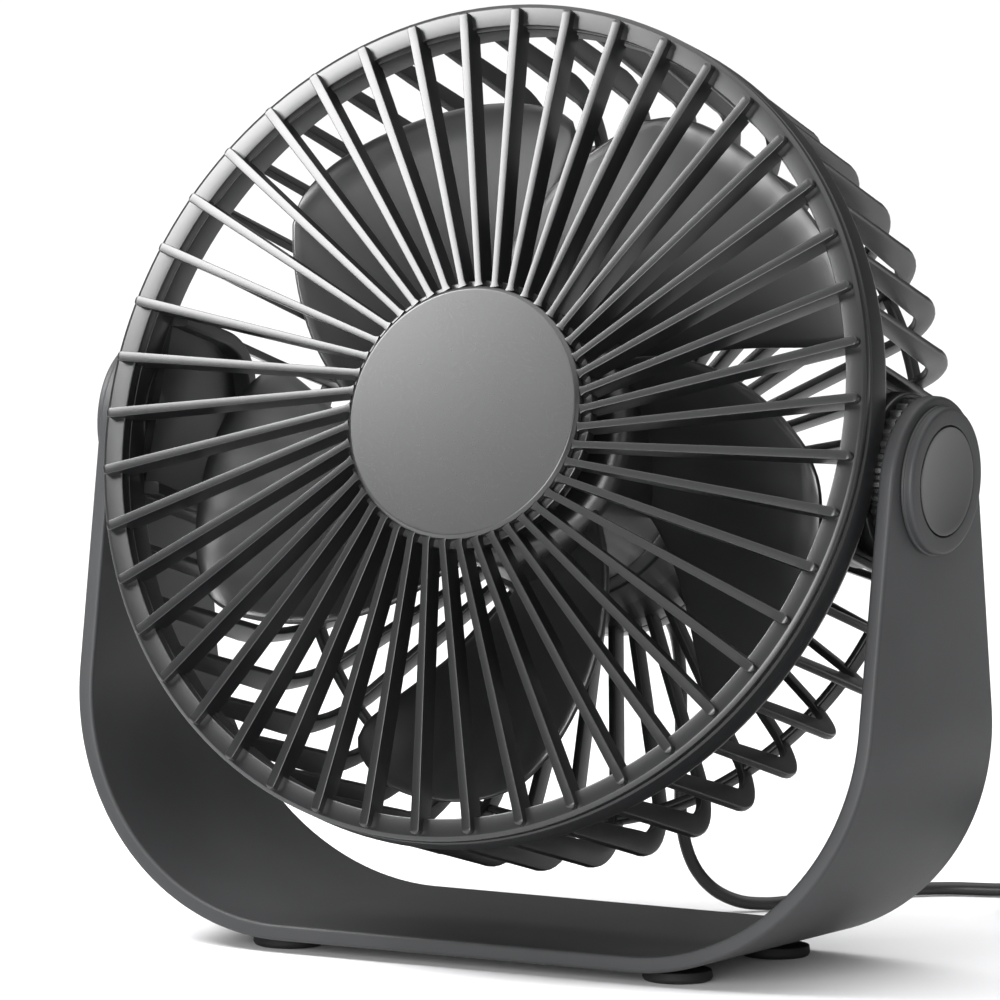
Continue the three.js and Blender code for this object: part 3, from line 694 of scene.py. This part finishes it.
def make_grille():
    """The front grille with the seat of its disc, and the disc."""
    solid = Solid().add(*front_ring())
    for i in range(RIBS["count"]):
        solid.add(*front_rib(360 * i / RIBS["count"]))
    seat = filleted([(0, 26.4), (27.2, 26.4, 0.4), (27.2, 29.2, 0.3), (0, 29.2)], 3, closed=False)
    solid.add(*lathe(seat, 90))
    grille = solid.piece("front_grille_ribs", HEAD, LOOK["grille"], "head", "grille", 35)
    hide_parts("front_grille")
    radius, front, back = DISC["radius"], DISC["front"], DISC["back"]
    profile = filleted([
        (0, back), (radius - 0.3, back), (radius, back + 0.4, 0.3), (radius, front - 0.75, 0.3),
        (radius - 0.75, front, 0.3), (radius - 1, front, 0.1), (0, front),
    ], 4, closed=False)
    disc = Solid().add(*lathe(profile, 180))
    disc = disc.piece("front_disc_face", HEAD, LOOK["disc"], "head", "housing", 30)
    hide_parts("front_disc")


def cage_rib(angle):
    """One bent rib, from the ring round the corner and in to the motor housing."""
    straight, bent = 6, 12
    outside = arc(CAGE["corner"], CAGE["round"], 0, -90, bent)
    inside = arc(CAGE["inner"], CAGE["inner_round"], 0, -90, bent)
    pairs = [tuple(mix(*edge, k / straight) for edge in RIB_WALL) for k in range(straight + 1)]
    pairs += list(zip(outside, inside))[1:]
    pairs += [tuple(mix(*edge, k / straight) for edge in RIB_REAR) for k in range(1, straight + 1)]
    half = CAGE["thick"] / 2
    rings = []
    for outer, near in pairs:
        far, close = Vector(outer), Vector(near)
        along, deep = (far - close).normalized(), (far - close).length
        section = filleted([(-half, 0, 0.3), (half, 0, 0.3), (half, deep, 0.45), (-half, deep, 0.45)], 3)
        rings.append([(close.x + along.x * v, u, close.y + along.y * v) for u, v in section])
    points, faces = loft(rings)
    turn = turn_z(angle)
    return [turn @ Vector(p) for p in points], faces


def panel_outline(reach, front):
    """The panel's outline in (z, y): straight to the ring, round at its rear end."""
    return [(front, reach), (front / 2, reach), *arc((0, 0), reach, 90, 270, 36), (front / 2, -reach), (front, -reach)]


def on_panel(z, y, depth=0.0):
    """A point of the panel's curved, leaning skin, or at a depth inside it."""
    radius = PANEL["skin"] - depth - PANEL["lean"] * (RING["rear"] + 1 - z)
    return Vector((math.sqrt(radius**2 - y**2), y, z))


def pivot_panel():
    """The curved wall that carries one pivot: a thin skin, and a rim that stands inward round it."""
    front, reach, wall = RING["rear"] + 1, PANEL["reach"], PANEL["wall"]
    outline = panel_outline(reach - LAP, front)
    rings = []
    for scale, depth in ((0.02, 0), (0.5, 0), (1, 0), (1, wall), (0.5, wall), (0.02, wall)):
        rings.append([on_panel(front + (z - front) * scale, y * scale, depth) for z, y in outline])
    skin = loft(rings)
    band = panel_outline(reach - PANEL["rim"] / 2, front)
    rings = []
    for i, (z, y) in enumerate(band):
        ahead, behind = Vector(band[min(i + 1, len(band) - 1)]), Vector(band[max(i - 1, 0)])
        along = (ahead - behind).normalized()
        side = Vector((-along.y, along.x))
        half = PANEL["rim"] / 2
        section = filleted([(-half, 0, 0.5), (half, 0, 0.3), (half, wall + PANEL["inside"], 0.5),
                            (-half, wall + PANEL["inside"], 0.5)], 4)
        rings.append([on_panel(z + side.x * u, y + side.y * u, depth) for u, depth in section])
    return [skin, loft(rings)]


def pivot_boss():
    """The round seat of the detent ring, with its blind screw bore."""
    radius, face, bore = BOSS["radius"], BOSS["face"], BOSS["bore"]
    inside, screw = PANEL["skin"] - PANEL["wall"] - LAP, BOSS["screw"]
    return lathe(filleted([
        (0, bore), (screw, bore), (screw, face), (radius, face, 0.5), (radius, inside), (0, inside),
    ], 4, closed=False), 72, ABOUT_X)


# The motor housing's cup as (radius, z, rounding), from its front hole over the inside and back by the outside
CUP = [
    (6, -15, 0.3), (6, -16.8, 0.3), (25.6, -16.8, 1), (27.4, -31, 1), (27.6, -35.4), (29.6, -35.4, 0.2),
    (29.5, -31, 2), (28.2, -25, 3), (27.5, -17, 1.5), (25.5, -15, 1),
]


def make_cage():
    """The rear cage, one moulding: ring, band, ribs, pivot panels with their seats, and the motor's cup."""
    solid = Solid()
    outer, inner, seam, rear = RING["outer"], RING["inner"], RING["seam"] - 0.3, RING["rear"]
    solid.add(*lathe(filleted([
        (inner, rear, 0.4), (outer - 0.3, rear, 0.5), (outer, rear + 1.2, 0.5), (outer, seam - 0.4, 0.2),
        (outer - 0.4, seam, 0.2), (inner, seam, 0.2),
    ], 4), 180))
    near, far, back, front = (CAGE_BAND[k] for k in ("inner", "outer", "back", "front"))
    band = filleted([(near, back, 0.5), (far, back, 0.5), (far, front, 0.5), (near, front, 0.5)], 4)
    solid.add(*lathe(band, 176))
    pitch = (180 - 2 * CAGE["first"]) / (CAGE["ribs"] - 1)
    for i in range(CAGE["ribs"]):
        for half in (1, -1):
            solid.add(*cage_rib(half * (CAGE["first"] + pitch * i)))
    for turn in (AS_MADE, MIRROR):
        for points, faces in (*pivot_panel(), pivot_boss()):
            solid.add([turn @ Vector(p) for p in points], faces)
    solid.add(*lathe(filleted(CUP, 4)[::-1], 132))
    cage = solid.piece("rear_cage_frame", HEAD, LOOK["cage"], "head", "grille", 35)
    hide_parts("rear_cage")


def make_detents():
    """The toothed rings between the head and the arms."""
    tip, gap = DETENT["radius"], DETENT["radius"] - DETENT["deep"]
    outline = []
    for i in range(DETENT["teeth"]):
        for share, radius in zip(TOOTH, (gap, gap, tip, tip)):
            a = 2 * math.pi * (i + share) / DETENT["teeth"]
            outline.append((radius * math.cos(a), radius * math.sin(a)))
    for side, turn in SIDES:
        solid = Solid().add(*prism(outline, DETENT["inside"], DETENT["outside"], DETENT["edge"], 2, turn @ ABOUT_X))
        ring = solid.piece(f"detent_teeth_{side}", HEAD, LOOK["cage"], "head", "grille", 30)
        carve(ring, pivot_hole(), HEAD)
        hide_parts(f"detent_ring_{side}")


BEHIND = -50  # behind everything that is cut from the back


def drill(radius, floor, x=0, y=0, segments=24):
    """A round cutter from behind the head to a floor."""
    profile = [(0, BEHIND), (radius, BEHIND), (radius, floor), (0, floor)]
    return lathe(profile, segments, Matrix.Translation((x, y, 0)))


def make_rear():
    """The rear cover with its holes, screw wells and groove round the button, and the button."""
    profile = filleted([
        (0, -42.6), (25.8, -42.6, 2.2), (29.4, -40.6, 2.4), (29.5, -35.8, 0.3), (27.7, -35.8), (27.7, -38.6),
        (25.5, -40.8), (0, -40.8),
    ], 6, closed=False)
    solid = Solid().add(*lathe(profile, 132))
    cover = solid.piece("rear_cover_shell", HEAD, LOOK["grille"], "head", "grille", 30)
    through = -38
    tool = Solid().add(*drill(REAR["button"], through, segments=48))
    tool.add(*drill(REAR["cord"], through, y=-REAR["cord_drop"]))
    tool.add(*drill(REAR["lens"], through, y=REAR["lens_up"]))
    (near, far), floor = REAR["groove"], REAR["groove_floor"]
    tool.add(*lathe([(near, BEHIND), (far, BEHIND), (far, floor), (near, floor)], 72))
    for angle in REAR["screws"]:
        tool.add(*drill(REAR["screw"], REAR["screw_seat"], *polar(REAR["screw_ring"], angle)))
    carve(cover, tool, HEAD)
    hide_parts("rear_cover")

    face = filleted([
        (0, -44), (4.9, -44, 1), (6, -43.1, 0.5), (6, -40.5), (7.2, -40.5), (7.2, -39.9), (0, -39.9),
    ], 5, closed=False)
    button = Solid().add(*lathe(face, 72)).piece("power_button_cap", HEAD, LOOK["button"], "button", "button", 30)
    carve(button, Solid().add(*lathe([(0, BEHIND), (3.2, BEHIND), (3.6, -43.7), (0, -43.4)], 48)), HEAD)
    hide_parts("power_button")


def make_relief():
    """The tapered sleeve where the cord leaves the rear cover, with grooves that let it bend."""
    grooves, first, pitch, thin, widen, deep = 5, -54.6, 2.2, 2.05, 0.16, 0.45
    steps = [(0, -55.9), (1.9, -55.9), (2.1, -55.5)]
    for k in range(grooves):
        z, r = first + pitch * k, thin + widen * k
        steps += [(r, z), (r - deep, z + 0.25), (r - deep, z + 0.8), (r + 0.1, z + 1.1)]
    steps += [
        (3, -44.2), (3.6, -43.8), (3.6, -42.9), (2.9, -42.9), (2.9, -40.5), (4.4, -40.5), (4.4, -39.1), (0, -39.1),
    ]
    sleeve = Solid().add(*lathe(steps, 36, Matrix.Translation((0, -REAR["cord_drop"], 0))))
    sleeve = sleeve.piece("strain_relief_sleeve", HEAD, LOOK["rubber"], "head", "rubber", 40)
    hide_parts("cord_strain_relief")


# ---------------------------------------------------------------- impeller
def blade_edges(radius):
    """Angles of the trailing and leading edges at a radius."""
    t = (radius - HUB["radius"]) / (BLADES["square"] - HUB["radius"])
    trailing = EDGES["trail"] + EDGES["trail_sweep"] * max(0, 1 - t) ** EDGES["trail_power"]
    return trailing, EDGES["lead"] - EDGES["lead_sweep"] * t


def blade(turn):
    """One twisted blade: two faces over a grid of chord by span cells, and a rounded rim all round."""
    chord, span, root = 36, 22, HUB["radius"] - BLADES["root_lap"]
    square, tip = BLADES["square"], BLADES["tip"]

    def surface(u, v):
        corner = BLADES["lead_drop"] if u > 0.5 else BLADES["trail_drop"]
        end = tip - corner * (1 - math.sqrt(max(0, 1 - abs(2 * u - 1) ** BLADES["corner_power"])))
        radius = root + (end - root) * v
        start, stop = blade_edges(min(radius, square))
        a = math.radians(turn + start + (stop - start) * u)
        outward = max(0, (radius - HUB["radius"]) / (tip - HUB["radius"]))
        lead = BLADES["front"] + BLADES["rise"] * math.sqrt(outward)
        z = BLADES["back"] + (lead - BLADES["back"]) * u + BLADES["camber"] * u * (1 - u)
        return Vector((radius * math.cos(a), radius * math.sin(a), z))

    def normal(u, v):
        near = 0.004
        du = surface(min(1, u + near), v) - surface(max(0, u - near), v)
        dv = surface(u, min(1, v + near)) - surface(u, max(0, v - near))
        return du.cross(dv).normalized()

    grid = [[(surface(i / chord, j / span), normal(i / chord, j / span)) for i in range(chord + 1)]
            for j in range(span + 1)]
    border = [(0, i) for i in range(chord)] + [(j, chord) for j in range(span)]
    border += [(span, chord - i) for i in range(chord)] + [(span - j, 0) for j in range(span)]
    half, edge = BLADES["thick"] / 2, BLADES["edge"]
    points, faces, index = [], [], {}
    for side in (1, -1):
        for j in range(span + 1):
            for i in range(chord + 1):
                place, out = grid[j][i]
                index[side, j, i] = len(points)
                points.append(place + out * half * side)
    for j in range(span):
        for i in range(chord):
            faces.append([index[1, j, i], index[1, j, i + 1], index[1, j + 1, i + 1], index[1, j + 1, i]])
            faces.append([index[-1, j, i], index[-1, j + 1, i], index[-1, j + 1, i + 1], index[-1, j, i + 1]])
    levels = 4
    count = len(border)
    rim = []
    for n, (j, i) in enumerate(border):
        place, out = grid[j][i]
        before = grid[border[n - 1][0]][border[n - 1][1]][0]
        after = grid[border[(n + 1) % count][0]][border[(n + 1) % count][1]][0]
        away = (after - before).cross(out).normalized()
        row = [index[1, j, i]]
        for k in range(1, levels):
            a = math.pi * k / levels
            row.append(len(points))
            points.append(place + out * half * math.cos(a) + away * edge * math.sin(a))
        row.append(index[-1, j, i])
        rim.append(row)
    for n in range(count):
        here, then = rim[n], rim[(n + 1) % count]
        for k in range(levels):
            faces.append([here[k], here[k + 1], then[k + 1], then[k]])
    return points, faces


def make_impeller():
    """The hub, a cup with a sleeve for the shaft in it, and the blades."""
    radius, front, back, edge, wall = (HUB[k] for k in ("radius", "front", "back", "edge", "wall"))
    sleeve, bore, end = HUB["sleeve"], HUB["bore"], HUB["bore_end"]
    solid = Solid()
    solid.add(*lathe(filleted([
        (0, front), (radius, front, edge), (radius, back, 0.3), (radius - wall, back, 0.3),
        (radius - wall, front - wall, 2.5), (sleeve, front - wall, 1), (sleeve - 0.4, back + 1, 0.3),
        (bore, back + 1), (bore, end), (0, end),
    ], 8, closed=False)[::-1], 144))
    for i in range(BLADES["count"]):
        solid.add(*blade(360 * i / BLADES["count"]))
    impeller = solid.piece("impeller_blades", HEAD, LOOK["blade"], "impeller", "blade", 50)
    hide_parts("impeller")


# ---------------------------------------------------------------- carried-over nodes
def finish_cad_nodes():
    """Gives every CAD node the look of its material slot."""
    slots = {s["node"]: s["material_slot"] for s in frame["record"]["subparts"]}
    for name, node in frame["nodes"].items():
        node.data.materials.clear()
        node.data.materials.append(LOOK[slots[name]])


def soften_small_parts():
    """Small hard pieces that show keep their CAD mesh, with softened edges."""
    for name in ("plug_shell", "plug_tongue", "pivot_screw_left", "pivot_screw_right"):
        bevel = frame["nodes"][name].modifiers.new("edge", "BEVEL")
        bevel.width, bevel.segments, bevel.limit_method = SOFT_EDGE * MM, 2, "ANGLE"


# ---------------------------------------------------------------- stage
def make_stage():
    """A plain pale floor, just under the feet."""
    material = grained("studio_floor", (0.86, 0.86, 0.87), 0.55, spread=0.03, grain=2, bump=0.01, tint=0.01)
    size = FLOOR_HALF
    floor = Solid().add([(-size, -size, 0), (size, -size, 0), (size, size, 0), (-size, size, 0)], [[0, 1, 2, 3]])
    floor = floor.piece("studio_floor", Matrix.Translation((0, 0, -0.0001)), material, None, None)


def area_light(name, place, target, size, power):
    """A white softbox that looks at its target."""
    data = bpy.data.lights.new(name, "AREA")
    data.shape = "RECTANGLE"
    data.size, data.size_y = size
    data.energy = power
    light = bpy.data.objects.new(name, data)
    bpy.context.scene.collection.objects.link(light)
    aim = Vector(target) - Vector(place)
    light.matrix_world = Matrix.Translation(place) @ aim.to_track_quat("-Z", "Y").to_matrix().to_4x4()


def make_light():
    """A sky that is bright overhead and dark round the horizon, and the softboxes."""
    world = bpy.data.worlds.new("studio")
    bpy.context.scene.world = world
    world.use_nodes = True
    nodes, links = world.node_tree.nodes, world.node_tree.links
    sky = nodes["Background"]
    place = nodes.new("ShaderNodeTexCoord")
    split = nodes.new("ShaderNodeSeparateXYZ")
    ramp = nodes.new("ShaderNodeValToRGB")
    links.new(place.outputs["Generated"], split.inputs["Vector"])
    links.new(split.outputs["Z"], ramp.inputs["Fac"])
    links.new(ramp.outputs["Color"], sky.inputs["Color"])
    ramp.color_ramp.interpolation = "EASE"
    low, high = ramp.color_ramp.elements
    low.position, low.color = SKY["edge"], (*[SKY["dark"]] * 3, 1)
    high.position, high.color = SKY["full"], (1, 1, 1, 1)
    sky.inputs["Strength"].default_value = SKY["strength"]
    for name, place, target, size, power in LIGHTS:
        area_light(name, place, target, size, power)
    bpy.context.scene.view_settings.view_transform = "Standard"


make_camera()
usb_cord, cord_path = make_cord()
tie_strap = make_tie()
plug_body = make_plug_body()
finish_cad_nodes()
soften_small_parts()
make_stand()
make_feet()
make_caps()
make_grille()
make_cage()
make_detents()
make_rear()
make_relief()
make_impeller()
make_stage()
make_light()
